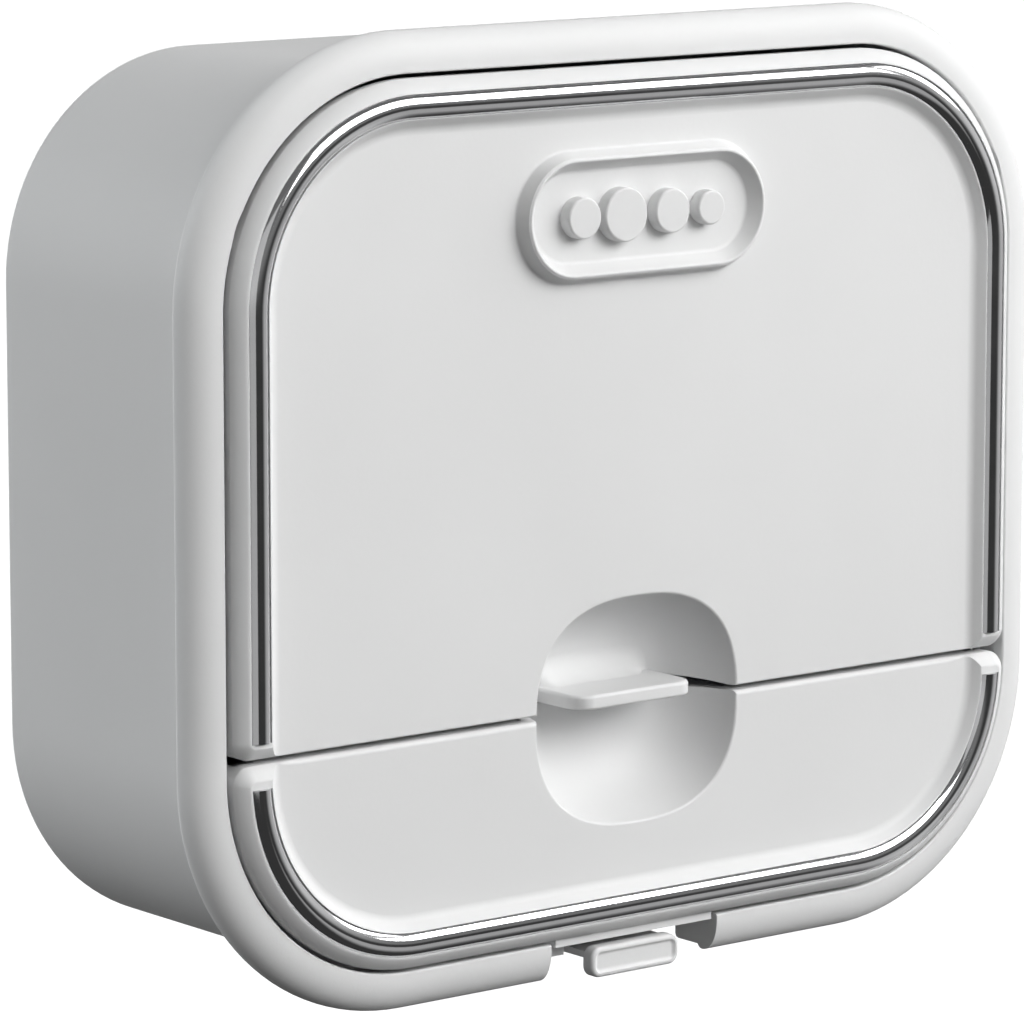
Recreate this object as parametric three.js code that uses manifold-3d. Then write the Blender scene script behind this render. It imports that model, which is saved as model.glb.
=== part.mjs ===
// Wall soap dish: a box that hangs on a wall plate, with a flip-up lid, a drip
// drawer below it and a release catch under the rim.
// Millimetres, +Z up, +X right, the front faces -Y. The origin is the middle of
// the pad face that meets the wall. Depths (d) are counted from the plane of the
// gap between rim and lid, positive towards the wall.
import * as THREE from 'three';
import { mergeVertices } from 'three/addons/utils/BufferGeometryUtils.js';
import Module from 'manifold-3d';

const wasm = await Module();
wasm.setup();

// ---- driving dimensions -------------------------------------------------
const GAP_Y = 46.6;             // wall face to the gap plane
const GAP_W = 126.14;           // gap outline
const GAP_H = 110.0;
const GAP_R = 27.14;
const CLEAR = 0.35;             // half of the visible gap
const RIM_OUT = 5.35;           // rim beyond the gap outline
const BODY_OUT = 0.84;          // body beyond the gap outline
const BODY_BACK = 46.16;        // rear edge of the body
const WALL = 2.2;               // housing wall
const REBATE = 4.6;             // depth of the seat for lid and drawer front
const BACK_IN = 39.0;           // inner face of the back wall
const BACK_OUT = 41.2;          // outer face of the back wall
const SPLIT_Z = -25.97;         // middle of the gap between lid and drawer front
const SPLIT_GAP = 0.72;
const CREST = -1.75;            // crest of the raised border
const PANEL = -0.4;             // flat panel face
const PANEL_BACK = 1.6;
const EDGE_BACK = 3.6;          // back of the border wall
const TRIM_IN = 1.75;           // trim strip, inset from the outline
const TRIM_W = 3.0;
const TRIM_FLOOR = -1.2;        // floor of the trim groove
const TRIM_TOP = -1.95;         // crest of the trim strip
const SLOPE_IN = 6.15;          // where the border meets the panel
const TRIM_END = 2.6;           // trim ends short of the split
const SCOOP = { z: -26.6, a: 16.2, b: 14.35, deep: 10.6, wall: 1.5 };
const TAB = { half: 9.6, front: -0.35, back: 9.6, top: -24.15, bottom: -25.9 };
const HINGE = { d: 1.0, z: 37.4, r: 0.8, armIn: 54.9, armOut: 57.3 };   // lid pivot, near the top at both sides
const BADGE = { z: 36.2, w: 37.4, h: 14.25, out: 1.1, inn: 1.45, crest: -2.35, floor: -1.0 };   // sizes along the ridge
const NOTCH_HALF = 13.6;
const CATCH = { half: 7.4, top: -56.5, bottom: -60.7, pivotD: 24.0, pivotZ: -57.75 };
const SPRING = { half: 2.7, inner: 1.2, outer: 1.55, wire: 0.35 };     // coil round the catch pin
const RACK_Z = -23.1;           // underside of the soap rack
const RACK_T = 2.2;
const STUD = { x: 20.0, z: 14.0, neck: 2.0, head: 4.0, drop: 10.0 };
const PLATE = { w: 70.0, h: 60.0, front: 42.9, back: 45.3 };
const SEG = 8;                  // facets per rounded corner

const Y = (d) => d - GAP_Y;

// ---- solids -------------------------------------------------------------
function solid(geometry) {
  const g = geometry.clone();
  g.deleteAttribute('normal');
  g.deleteAttribute('uv');
  const m = mergeVertices(g, 1e-4);
  return new wasm.Manifold(new wasm.Mesh({
    numProp: 3,
    vertProperties: new Float32Array(m.attributes.position.array),
    triVerts: new Uint32Array(m.index.array),
  }));
}

function toGeometry(man) {
  const mesh = man.getMesh();
  const g = new THREE.BufferGeometry();
  const p = new Float32Array(mesh.numVert * 3);
  for (let i = 0; i < mesh.numVert; i++) {
    for (let k = 0; k < 3; k++) p[i * 3 + k] = mesh.vertProperties[i * mesh.numProp + k];
  }
  g.setAttribute('position', new THREE.BufferAttribute(p, 3));
  g.setIndex(new THREE.BufferAttribute(new Uint32Array(mesh.triVerts), 1));
  g.computeVertexNormals();
  return g;
}

function box(x0, x1, d0, d1, z0, z1) {
  const g = new THREE.BoxGeometry(x1 - x0, d1 - d0, z1 - z0);
  g.translate((x0 + x1) / 2, Y((d0 + d1) / 2), (z0 + z1) / 2);
  return solid(g);
}

// Slab with its profile in [depth, z], between two x planes.
function slabX(pts, x0, x1) {
  const shape = new THREE.Shape(pts.map(([d, z]) => new THREE.Vector2(Y(d), z)));
  const g = new THREE.ExtrudeGeometry(shape, { depth: x1 - x0, bevelEnabled: false });
  g.applyMatrix4(new THREE.Matrix4().makeBasis(new THREE.Vector3(0, 1, 0), new THREE.Vector3(0, 0, 1), new THREE.Vector3(1, 0, 0)));
  g.translate(x0, 0, 0);
  return solid(g);
}

function rodX(x0, x1, d, z, r, n = 16) {
  const g = new THREE.CylinderGeometry(r, r, x1 - x0, n);
  g.rotateZ(Math.PI / 2);
  g.translate((x0 + x1) / 2, Y(d), z);
  return solid(g);
}

function rodY(x, z, d0, d1, r, n = 20, r2 = r) {
  const g = new THREE.CylinderGeometry(r2, r, d1 - d0, n);
  g.translate(x, Y((d0 + d1) / 2), z);
  return solid(g);
}

// Rounded rectangle as a list of [x, z], anticlockwise, own radius at the top.
function outline(off, rTop = GAP_R, rBot = GAP_R, n = SEG) {
  const w = GAP_W / 2 + off;
  const h = GAP_H / 2 + off;
  const corners = [[1, 1, 0, rTop], [-1, 1, 90, rTop], [-1, -1, 180, rBot], [1, -1, 270, rBot]];
  const pts = [];
  for (const [sx, sz, a0, r0] of corners) {
    const r = r0 + off;
    for (let i = 0; i <= n; i++) {
      const a = (a0 + (90 * i) / n) * Math.PI / 180;
      pts.push([sx * (w - r) + r * Math.cos(a), sz * (h - r) + r * Math.sin(a)]);
    }
  }
  return pts;
}

// Closed solid through a row of outlines with equal point counts: [points, depth].
function loft(rings) {
  const n = rings[0][0].length;
  const pos = [];
  const idx = [];
  for (const [pts, d] of rings) for (const [x, z] of pts) pos.push(x, Y(d), z);
  for (let r = 0; r + 1 < rings.length; r++) {
    for (let i = 0; i < n; i++) {
      const j = (i + 1) % n;
      const a = r * n + i, b = r * n + j, c = (r + 1) * n + j, e = (r + 1) * n + i;
      idx.push(a, e, b, b, e, c);
    }
  }
  const cap = (r, flip) => {
    const contour = rings[r][0].map(([x, z]) => new THREE.Vector2(x, z));
    for (const [a, b, c] of THREE.ShapeUtils.triangulateShape(contour, [])) {
      if (flip) idx.push(r * n + a, r * n + c, r * n + b);
      else idx.push(r * n + a, r * n + b, r * n + c);
    }
  };
  cap(0, false);
  cap(rings.length - 1, true);
  const g = new THREE.BufferGeometry();
  g.setAttribute('position', new THREE.BufferAttribute(new Float32Array(pos), 3));
  g.setIndex(idx);
  return solid(g);
}

const prism = (pts, d0, d1) => loft([[pts, d0], [pts, d1]]);

function ellipsoid(x, d, z, rx, ry, rz) {
  const g = new THREE.SphereGeometry(1, 28, 18);
  g.scale(rx, ry, rz);
  g.translate(x, Y(d), z);
  return solid(g);
}

function stadiumPts(w, h, z, n = 8) {
  const pts = [];
  for (const [s, a0] of [[1, -90], [-1, 90]]) {
    for (let i = 0; i <= n; i++) {
      const a = (a0 + (180 * i) / n) * Math.PI / 180;
      pts.push([s * (w - h) / 2 + (h / 2) * Math.cos(a), z + (h / 2) * Math.sin(a)]);
    }
  }
  return pts;
}

const stadium = (w, h, d0, d1, z, n = 8) => prism(stadiumPts(w, h, z, n), d0, d1);

const root = new THREE.Group();
const WHITE = { color: 0xe6e7e7, roughness: 0.32, metalness: 0.0 };
const CHROME = { color: 0xc8c9cb, roughness: 0.12, metalness: 1.0 };
const STEEL = { color: 0xa9abae, roughness: 0.3, metalness: 1.0 };
const CLEARISH = { color: 0xd4d8d8, roughness: 0.5, metalness: 0.0 };

function piece(name, man, look, parent) {
  const mesh = new THREE.Mesh(toGeometry(man), new THREE.MeshStandardMaterial(look));
  mesh.name = name;
  parent.add(mesh);
}
const group = () => { const g = new THREE.Group(); root.add(g); return g; };

// ---- wall plate and pad -------------------------------------------------
const plateGroup = group();
let plate = box(-PLATE.w / 2, PLATE.w / 2, PLATE.front, PLATE.back, -PLATE.h / 2, PLATE.h / 2);
for (const s of [-1, 1]) {
  plate = plate.add(rodY(s * STUD.x, STUD.z, 38.2, PLATE.front + 0.5, STUD.neck));
  plate = plate.add(rodY(s * STUD.x, STUD.z, 36.8, 38.7, STUD.head));
}
piece('wall_plate', plate, WHITE, plateGroup);
piece('adhesive_pad', box(-33, 33, PLATE.back + 0.3, GAP_Y, -28, 28), CLEARISH, plateGroup);

// ---- housing ------------------------------------------------------------
const box1 = group();
const rimRings = [
  [BODY_OUT, BODY_BACK - 0.01], [BODY_OUT, 9.3], [1.2, 7.8], [1.9, 6.8], [3.7, 4.7], [4.6, 3.9], [5.2, 3.4],
  [RIM_OUT, 2.8], [4.95, 1.5], [3.9, 0.65], [2.3, 0.15], [0.9, 0.0],
].reverse().map(([o, d]) => [outline(o), d]);
let housing = loft(rimRings);
housing = housing.subtract(loft([
  [outline(CLEAR + 0.55), -0.5], [outline(CLEAR + 0.55), 0.0], [outline(CLEAR), 0.6], [outline(CLEAR), REBATE],
]));
const inner = outline(BODY_OUT - WALL);
// above the pivot the seat runs out in a slope, so that the lid's top can swing in
const topBlock = new THREE.BoxGeometry(200, 40, 60);
topBlock.translate(0, Y(0), HINGE.z - 1 + 30);
housing = housing.subtract(loft([
  [outline(CLEAR), REBATE - 0.4], [outline(CLEAR), REBATE], [inner, REBATE + 3.8], [inner, REBATE + 4],
]).intersect(solid(topBlock)));
housing = housing.subtract(prism(inner, REBATE - 0.5, BACK_IN));
housing = housing.subtract(prism(inner, BACK_OUT, BODY_BACK + 1));
// keyholes
for (const s of [-1, 1]) {
  const x = s * STUD.x;
  housing = housing.subtract(rodY(x, STUD.z - STUD.drop, BACK_IN - 1, BACK_OUT + 1, STUD.head + 0.4));
  housing = housing.subtract(box(x - STUD.neck - 0.3, x + STUD.neck + 0.3, BACK_IN - 1, BACK_OUT + 1, STUD.z - STUD.drop, STUD.z));
  housing = housing.subtract(rodY(x, STUD.z, BACK_IN - 1, BACK_OUT + 1, STUD.neck + 0.3));
}
// the rim is backed by a block at each side of the notch
for (const s of [-1, 1]) {
  const [a, b] = s > 0 ? [NOTCH_HALF - 0.5, NOTCH_HALF + 2.6] : [-NOTCH_HALF - 2.6, -NOTCH_HALF + 0.5];
  housing = housing.add(box(a, b, 2.0, 8.3, -59.75, -GAP_H / 2 - BODY_OUT + 0.6));
}
// notch in the lower rim
housing = housing.subtract(box(-NOTCH_HALF, NOTCH_HALF, -2, REBATE, -70, -50));
housing = housing.subtract(box(-NOTCH_HALF, NOTCH_HALF, REBATE - 0.5, 11, -70, -GAP_H / 2 - BODY_OUT));
// ledges for the soap rack
const halfIn = GAP_W / 2 + BODY_OUT - WALL;
for (const s of [-1, 1]) {
  const [a, b] = s > 0 ? [54, halfIn + 0.6] : [-halfIn - 0.6, -54];
  housing = housing.add(box(a, b, 8, BACK_IN + 0.6, -25.4, RACK_Z - 0.3));
}
// hinge arms: a bar from each side wall, then forward and up to the pivot
for (const s of [-1, 1]) {
  const [a, b] = s > 0 ? [HINGE.armIn, HINGE.armOut] : [-HINGE.armOut, -HINGE.armIn];
  let arm = rodX(a, b, HINGE.d, HINGE.z, 1.4);
  arm = arm.add(slabX([[0.12, -0.88], [6.5, -7.3], [8.28, -5.5], [1.88, 0.88]].map(([d, z]) => [d, HINGE.z + z]), a, b));
  const [c, e] = s > 0 ? [HINGE.armIn, 62.0] : [-62.0, -HINGE.armIn];
  arm = arm.add(box(c, e, 6.6, 9.6, HINGE.z - 10, HINGE.z - 6));
  arm = arm.subtract(rodX(a - 1, b + 1, HINGE.d, HINGE.z, HINGE.r + 0.08));
  housing = housing.add(arm);
}
// catch bearings and stop under the floor
const floorZ = -GAP_H / 2 - BODY_OUT;
for (const s of [-1, 1]) {
  const [a, b] = s > 0 ? [7.9, 10.1] : [-10.1, -7.9];
  let ear = box(a, b, CATCH.pivotD - 2.4, CATCH.pivotD + 2.4, -59.8, floorZ + 0.6);
  ear = ear.subtract(rodX(a - 1, b + 1, CATCH.pivotD, CATCH.pivotZ, 1.08));
  housing = housing.add(ear);
}
housing = housing.add(box(-NOTCH_HALF + 0.01, -7.9, 3.8, 6.2, -58.15, floorZ + 0.6).subtract(box(-20, 0, 3, REBATE + 0.02, floorZ, -50)));
piece('housing_shell', housing, WHITE, box1);

// soap rack
let rack = box(-halfIn + 0.6, halfIn - 0.6, 7.5, BACK_IN - 0.5, RACK_Z, RACK_Z + RACK_T);
rack = rack.subtract(box(-21, 21, 5, 15, -30, -10));
for (let i = -4; i <= 4; i++) {
  const front = Math.abs(i) < 2 ? 18.5 : 11.5;
  rack = rack.subtract(box(i * 12 - 2.2, i * 12 + 2.2, front, 35, -30, -10));
}
for (let i = -4; i <= 3; i++) {
  const x = i * 12 + 6;
  const front = Math.abs(x) < 22 ? 17 : 9.5;
  rack = rack.add(box(x - 0.9, x + 0.9, front, 36.5, RACK_Z + RACK_T - 0.4, RACK_Z + RACK_T + 1.6));
}
piece('soap_rack', rack, WHITE, box1);

// hinge pins, lid stops, catch pin
for (const [s, side] of [[-1, 'left'], [1, 'right']]) {
  const [a, b] = s > 0 ? [50.2, HINGE.armOut - 0.1] : [-HINGE.armOut + 0.1, -50.2];
  piece(`hinge_pin_${side}`, rodX(a, b, HINGE.d, HINGE.z, HINGE.r, 12), STEEL, box1);
}
const bumperX = 57.5;
for (const [s, side] of [[-1, 'left'], [1, 'right']]) {
  piece(`lid_bumper_${side}`, rodY(s * bumperX, -24.4, 4.1, 7.7, 1.0, 14), CLEARISH, box1);
}
piece('catch_pin', rodX(-10.0, 10.0, CATCH.pivotD, CATCH.pivotZ, 1.0, 14), STEEL, box1);

// catch spring: a coil on the pin, one leg up to the floor behind it and one under the lever
const coilLow = CATCH.pivotZ - SPRING.outer;
let spring = rodX(-SPRING.half, SPRING.half, CATCH.pivotD, CATCH.pivotZ, SPRING.outer, 18)
  .subtract(rodX(-SPRING.half - 1, SPRING.half + 1, CATCH.pivotD, CATCH.pivotZ, SPRING.inner, 18));
spring = spring.add(slabX([[0.3, -1.4], [7.2, 1.53], [7.08, 1.81], [0.18, -1.12]].map(([d, z]) => [CATCH.pivotD + d, CATCH.pivotZ + z]), -SPRING.half, -SPRING.half + SPRING.wire));
spring = spring.add(box(SPRING.half - SPRING.wire, SPRING.half, CATCH.pivotD - 7.0, CATCH.pivotD, coilLow, coilLow + SPRING.wire));
piece('catch_spring', spring, STEEL, box1);

// ---- raised-border front plate, whole, before it is split ------------------
const LO = -CLEAR;
const face = (rt, rb, extra = 0) => (inset) => outline(LO - inset - extra, rt, rb);
function frontPlate(rt, rb) {
  const o = face(rt, rb);
  let p = loft([
    [o(SLOPE_IN - 1.35), CREST + 0.04], [o(TRIM_IN - 0.1), CREST], [o(1.0), -1.58], [o(0.45), -1.2], [o(0.1), -0.65], [o(0), -0.1], [o(0), 0.9], [o(0.7), EDGE_BACK],
  ]);
  p = p.subtract(loft([[o(SLOPE_IN - 1.35 - 0.5), CREST - 0.5], [o(SLOPE_IN), PANEL], [o(SLOPE_IN + 0.01), PANEL + 0.001]]));
  p = p.subtract(prism(o(1.6), PANEL_BACK, EDGE_BACK + 1));
  return p;
}
function trimRing(rt, rb, grow, d0, d1) {
  const o = face(rt, rb);
  return prism(o(TRIM_IN - grow), d0, d1).subtract(prism(o(TRIM_IN + TRIM_W + grow), d0 - 1, d1 + 1));
}
function trimStrip(rt, rb) {
  const o = face(rt, rb);
  const outer = loft([[o(TRIM_IN + 1.0), TRIM_TOP], [o(TRIM_IN + 0.35), TRIM_TOP + 0.2], [o(TRIM_IN + 0.15), TRIM_FLOOR - 0.2], [o(TRIM_IN + 0.15), TRIM_FLOOR - 0.15]]);
  const hole = loft([[o(TRIM_IN + 2.0), TRIM_TOP - 0.01], [o(TRIM_IN + 2.65), TRIM_TOP + 0.2], [o(TRIM_IN + 2.85), TRIM_FLOOR - 0.2], [o(TRIM_IN + 2.85), TRIM_FLOOR]]);
  return outer.subtract(hole);
}
const FAR = 90;
const above = (z) => box(-FAR, FAR, -20, 60, z, FAR);
const below = (z) => box(-FAR, FAR, -20, 60, -FAR, z);
const lidLow = SPLIT_Z + SPLIT_GAP / 2;
const drawerHigh = SPLIT_Z - SPLIT_GAP / 2;
const scoopOuter = ellipsoid(0, PANEL, SCOOP.z, SCOOP.a + SCOOP.wall, SCOOP.deep + SCOOP.wall, SCOOP.b + SCOOP.wall)
  .intersect(box(-FAR, FAR, PANEL, 30, -FAR, FAR));
const scoopInner = ellipsoid(0, PANEL, SCOOP.z, SCOOP.a, SCOOP.deep, SCOOP.b);

// ---- lid ------------------------------------------------------------------
const lidGroup = group();
let lid = frontPlate(GAP_R, GAP_R);
lid = lid.subtract(trimRing(GAP_R, GAP_R, 0, -5, TRIM_FLOOR).intersect(above(lidLow + TRIM_END)));
lid = lid.add(scoopOuter).subtract(scoopInner);
lid = lid.intersect(above(lidLow));
// the rear of the scoop is relieved so that it clears the drawer as the lid swings
lid = lid.subtract(slabX([[2.2, -1], [20, -1], [20, 1.4], [12, 0.95]].map(([d, z]) => [d, lidLow + z]), -30, 30));
// lower wall closing the back of the border along the split
lid = lid.add(box(-58, -17.2, PANEL_BACK - 0.4, EDGE_BACK, lidLow, lidLow + 1.6))
  .add(box(17.2, 58, PANEL_BACK - 0.4, EDGE_BACK, lidLow, lidLow + 1.6));
// pull tab
const tabPts = [[-TAB.half, TAB.back], [-TAB.half, TAB.front + 2.2], [-TAB.half + 0.7, TAB.front + 0.7], [-TAB.half + 2.2, TAB.front],
  [TAB.half - 2.2, TAB.front], [TAB.half - 0.7, TAB.front + 0.7], [TAB.half, TAB.front + 2.2], [TAB.half, TAB.back]];
const tabShape = new THREE.Shape(tabPts.map(([x, d]) => new THREE.Vector2(x, Y(d))));
const tabGeo = new THREE.ExtrudeGeometry(tabShape, { depth: TAB.top - TAB.bottom, bevelEnabled: false });
tabGeo.translate(0, 0, TAB.bottom);
lid = lid.add(solid(tabGeo));
// hinge knuckles and the clearance for the arms
for (const s of [-1, 1]) {
  const [a, b] = s > 0 ? [49.6, 54.4] : [-54.4, -49.6];
  const [c, e] = s > 0 ? [HINGE.armIn - 0.15, HINGE.armOut + 0.5] : [-HINGE.armOut - 0.5, -HINGE.armIn + 0.15];
  lid = lid.add(box(a, b, 0.5, 2.7, HINGE.z - 2.2, HINGE.z + 2.2));
  lid = lid.subtract(box(c, e, 0.4, 9, HINGE.z - 3.2, HINGE.z + 5.2));
  lid = lid.subtract(rodX(c, e, HINGE.d, HINGE.z, 1.55, 24));
  lid = lid.subtract(s > 0 ? rodX(49.9, 55, HINGE.d, HINGE.z, HINGE.r + 0.08, 16) : rodX(-55, -49.9, HINGE.d, HINGE.z, HINGE.r + 0.08, 16));
}
piece('lid_panel', lid, WHITE, lidGroup);
piece('lid_trim', trimStrip(GAP_R, GAP_R).intersect(above(lidLow + TRIM_END + 0.15)), CHROME, lidGroup);

// badge: a stadium ridge round a floor with four round beads
const bf = PANEL - 0.3;
const ridge = (o) => stadiumPts(BADGE.w + 2 * o, BADGE.h + 2 * o, BADGE.z, 10);
let badge = loft([[ridge(0.15), BADGE.crest], [ridge(BADGE.out), bf - 0.15], [ridge(BADGE.out), bf]]);
badge = badge.subtract(loft([[ridge(0.05), BADGE.crest - 0.2], [ridge(-0.15), BADGE.crest], [ridge(-BADGE.inn), BADGE.floor]]));
for (const [x, r] of [[-10.2, 2.6], [-3.6, 3.4], [3.9, 2.8], [10.2, 2.2]]) {
  badge = badge.add(rodY(x, BADGE.z, BADGE.crest, BADGE.floor + 0.2, r, 20));
}
piece('badge_plate', badge, WHITE, lidGroup);

// ---- drawer ---------------------------------------------------------------
const drawerGroup = group();
let front = frontPlate(GAP_R, GAP_R);
front = front.subtract(trimRing(GAP_R, GAP_R, 0, -5, TRIM_FLOOR).intersect(below(drawerHigh - TRIM_END)));
front = front.add(scoopOuter).subtract(scoopInner);
front = front.intersect(below(drawerHigh));
front = front.add(box(-58, -17.2, PANEL_BACK - 0.4, EDGE_BACK, drawerHigh - 1.6, drawerHigh))
  .add(box(17.2, 58, PANEL_BACK - 0.4, EDGE_BACK, drawerHigh - 1.6, drawerHigh));
front = front.add(box(-12.8, 12.8, 0.2, 2.2, -55.75, -54.0));
const SCREW = { x: 40, z: -40 };
for (const s of [-1, 1]) {
  front = front.add(rodY(s * SCREW.x, SCREW.z, PANEL_BACK - 0.4, EDGE_BACK, 3.2, 16));
  front = front.subtract(rodY(s * SCREW.x, SCREW.z, 0.7, EDGE_BACK + 1, 1.5, 16));
}
piece('drawer_front', front, WHITE, drawerGroup);
piece('drawer_trim', trimStrip(GAP_R, GAP_R).intersect(below(drawerHigh - TRIM_END - 0.15)), CHROME, drawerGroup);

const TRAY = { front: 3.95, back: 36.0, top: -27.2, wall: 1.8, clear: 0.6 };
let tray = prism(outline(BODY_OUT - WALL - TRAY.clear), TRAY.front, TRAY.back).intersect(below(TRAY.top));
tray = tray.subtract(box(-19.8, 19.8, 0, 13.4, -60, 0));
const hollow = prism(outline(BODY_OUT - WALL - TRAY.clear - TRAY.wall), TRAY.front + TRAY.wall, TRAY.back - TRAY.wall)
  .subtract(box(-21.6, 21.6, 0, 15.2, -60, 60));
tray = tray.subtract(hollow);
for (const s of [-1, 1]) tray = tray.subtract(rodY(s * SCREW.x, SCREW.z, 2, 7, 1.5, 16));
piece('drip_tray', tray, WHITE, drawerGroup);
for (const [s, side] of [[-1, 'left'], [1, 'right']]) {
  piece(`tray_screw_${side}`, rodY(s * SCREW.x, SCREW.z, 1.0, 6.4, 1.2, 14).add(rodY(s * SCREW.x, SCREW.z, 6.05, 7.9, 2.8, 18, 2.2)), STEEL, drawerGroup);
}

// ---- release catch ----------------------------------------------------------
const catchGroup = group();
let lever = box(-6.9, 6.9, 1.0, CATCH.pivotD + 2.0, -58.15, -56.35);
lever = lever.subtract(box(-9, 9, 20.5, 30, -59, -55));
lever = lever.add(box(-7.4, 7.4, 20.0, CATCH.pivotD, -58.15, -56.35)).add(rodX(-7.4, 7.4, CATCH.pivotD, CATCH.pivotZ, 1.6));
lever = lever.subtract(rodX(-9, 9, CATCH.pivotD, CATCH.pivotZ, 1.08));
// window for the spring between the two knuckles
lever = lever.subtract(box(-3.1, 3.1, 21.9, 28, -61, -55));
const zc = (CATCH.top + CATCH.bottom) / 2;
const th = CATCH.top - CATCH.bottom;
let pad = stadium(2 * CATCH.half, th, -0.2, 1.6, zc, 6).add(box(-CATCH.half + 1.1, CATCH.half - 1.1, -0.2, 1.6, CATCH.bottom, CATCH.top));
pad = pad.subtract(box(-CATCH.half + 1.3, CATCH.half - 1.3, -1, 0.5, CATCH.bottom + 0.95, CATCH.top - 0.95));
piece('release_catch', lever.add(pad), WHITE, catchGroup);

export default root;
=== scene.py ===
import math

import bmesh
import bpy
import numpy as np
from mathutils import Matrix, Vector


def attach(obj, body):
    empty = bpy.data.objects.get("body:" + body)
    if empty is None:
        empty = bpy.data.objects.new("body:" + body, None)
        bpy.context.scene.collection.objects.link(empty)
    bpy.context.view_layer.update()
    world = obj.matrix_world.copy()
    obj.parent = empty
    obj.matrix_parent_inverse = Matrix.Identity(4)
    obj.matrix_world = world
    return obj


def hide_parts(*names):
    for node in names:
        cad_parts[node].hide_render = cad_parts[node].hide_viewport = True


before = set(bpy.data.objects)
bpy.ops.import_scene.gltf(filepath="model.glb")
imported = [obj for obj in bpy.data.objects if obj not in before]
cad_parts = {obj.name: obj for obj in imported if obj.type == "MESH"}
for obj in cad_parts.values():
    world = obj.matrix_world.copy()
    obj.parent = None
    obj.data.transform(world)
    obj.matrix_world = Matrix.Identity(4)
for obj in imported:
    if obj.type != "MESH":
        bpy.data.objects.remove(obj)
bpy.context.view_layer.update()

# ---------------------------------------------------------------- dimensions
# Millimetres. d is the depth behind the plane of the gap between rim and lid.
GAP_Y = 46.6
GAP_W, GAP_H, GAP_R = 126.14, 110.0, 27.14
CLEAR = 0.35
BODY_OUT, BODY_BACK, WALL = 0.84, 46.16, 2.2
RIM_OUT = 5.35
REBATE = 4.6
BACK_IN, BACK_OUT = 39.0, 41.2
LID_LOW = -25.97 + 0.36
DRAWER_HIGH = -25.97 - 0.36
CREST, PANEL, PANEL_BACK, EDGE_BACK = -1.75, -0.4, 1.6, 3.6
TRIM_MID, TRIM_HALF, TRIM_FLOOR = 3.3, 1.5, -1.2
TRIM_END = 2.6
SC_Z, SC_A, SC_B, SC_D = -26.6, 16.2, 14.35, 10.6
TAB_HALF, TAB_FRONT, TAB_TOP, TAB_BOT = 9.6, -0.45, -24.05, -25.95
HINGE_D, HINGE_Z = 1.0, 37.4
NOTCH = 13.6
FLOOR_Z = -GAP_H / 2 - BODY_OUT
N = 28


def P(x, d, z):
    return (x * 0.001, (d - GAP_Y) * 0.001, z * 0.001)


# ---------------------------------------------------------------- mesh helpers
def outline(off, n=N):
    w, h, r = GAP_W / 2 + off, GAP_H / 2 + off, GAP_R + off
    pts = []
    for sx, sz, a0 in ((1, 1, 0), (-1, 1, 90), (-1, -1, 180), (1, -1, 270)):
        for i in range(n + 1):
            a = math.radians(a0 + 90 * i / n)
            pts.append((sx * (w - r) + r * math.cos(a), sz * (h - r) + r * math.sin(a)))
    return pts


def new_object(name, verts, faces):
    me = bpy.data.meshes.new(name)
    me.from_pydata(verts, [], faces)
    me.validate()
    bm = bmesh.new()
    bm.from_mesh(me)
    bmesh.ops.recalc_face_normals(bm, faces=bm.faces)
    bm.to_mesh(me)
    bm.free()
    ob = bpy.data.objects.new(name, me)
    bpy.context.scene.collection.objects.link(ob)
    return ob


def loft3(name, rings):
    """Closed solid through rings of equal length; each ring is a list of (x, d, z)."""
    n = len(rings[0])
    verts = [P(*p) for ring in rings for p in ring]
    faces = []
    for r in range(len(rings) - 1):
        for i in range(n):
            j = (i + 1) % n
            faces.append((r * n + i, r * n + j, (r + 1) * n + j, (r + 1) * n + i))
    faces.append(tuple(range(n - 1, -1, -1)))
    faces.append(tuple(range((len(rings) - 1) * n, len(rings) * n)))
    return new_object(name, verts, faces)


def loft(name, rings):
    return loft3(name, [[(x, d, z) for x, z in pts] for pts, d in rings])


def prism(name, pts, d0, d1):
    return loft(name, [(pts, d0), (pts, d1)])


def box(name, x0, x1, d0, d1, z0, z1):
    return prism(name, [(x0, z0), (x1, z0), (x1, z1), (x0, z1)], d0, d1)


def rod_y(name, x, z, d0, d1, r, n=40):
    return prism(name, [(x + r * math.cos(2 * math.pi * i / n), z + r * math.sin(2 * math.pi * i / n)) for i in range(n)], d0, d1)


def slab_x(name, prof, x0, x1):
    """Solid with its profile in (d, z), between two x planes."""
    return loft3(name, [[(x0, d, z) for d, z in prof], [(x1, d, z) for d, z in prof]])


def rod_x(name, x0, x1, d, z, r, n=36):
    return slab_x(name, [(d + r * math.cos(2 * math.pi * i / n), z + r * math.sin(2 * math.pi * i / n)) for i in range(n)], x0, x1)


def boolean(ob, other, op):
    m = ob.modifiers.new("b", "BOOLEAN")
    m.operation = op
    m.solver = "MANIFOLD"
    m.object = other
    bpy.context.view_layer.update()
    deps = bpy.context.evaluated_depsgraph_get()
    me = bpy.data.meshes.new_from_object(ob.evaluated_get(deps))
    ob.modifiers.clear()
    old = ob.data
    ob.data = me
    bpy.data.meshes.remove(old)
    gone = other.data
    bpy.data.objects.remove(other)
    bpy.data.meshes.remove(gone)
    return ob


def cut(ob, other):
    return boolean(ob, other, "DIFFERENCE")


def join(ob, other):
    return boolean(ob, other, "UNION")


def keep(ob, other):
    return boolean(ob, other, "INTERSECT")


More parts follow.
